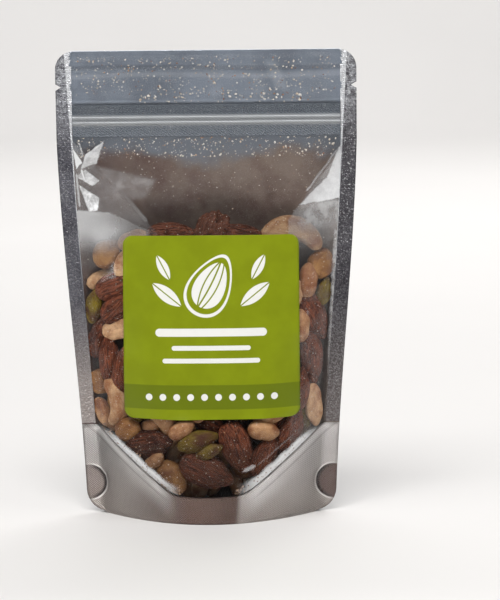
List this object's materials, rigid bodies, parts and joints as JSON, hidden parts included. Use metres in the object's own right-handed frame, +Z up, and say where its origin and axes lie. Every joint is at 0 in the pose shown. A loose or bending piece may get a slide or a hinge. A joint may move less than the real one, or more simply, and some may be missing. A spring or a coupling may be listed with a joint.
{
  "type": "filled stand-up zip pouch",
  "caption": "Clear-fronted stand-up zip pouch of mixed nuts with a foil back, gusseted base, press-to-close strip, tear notches and a green square label",
  "frame": {"origin": "bottom centre of the standing pouch, on the plane it stands on", "axes": "+Z up along the height, +X across the width, -Y out of the labelled front"},
  "size_m": [0.13, 0.0556, 0.203],
  "materials": {
    "pouch_film": "clear glossy film front and silver foil back, nuts showing through",
    "zip_plastic": "milky pressed strip",
    "label_paper": "satin green paper with white print"
  },
  "bodies": {
    "root": {"pouch": "pouch_film", "zip_strip": "zip_plastic", "label": "label_paper"}
  },
  "joints": []
}
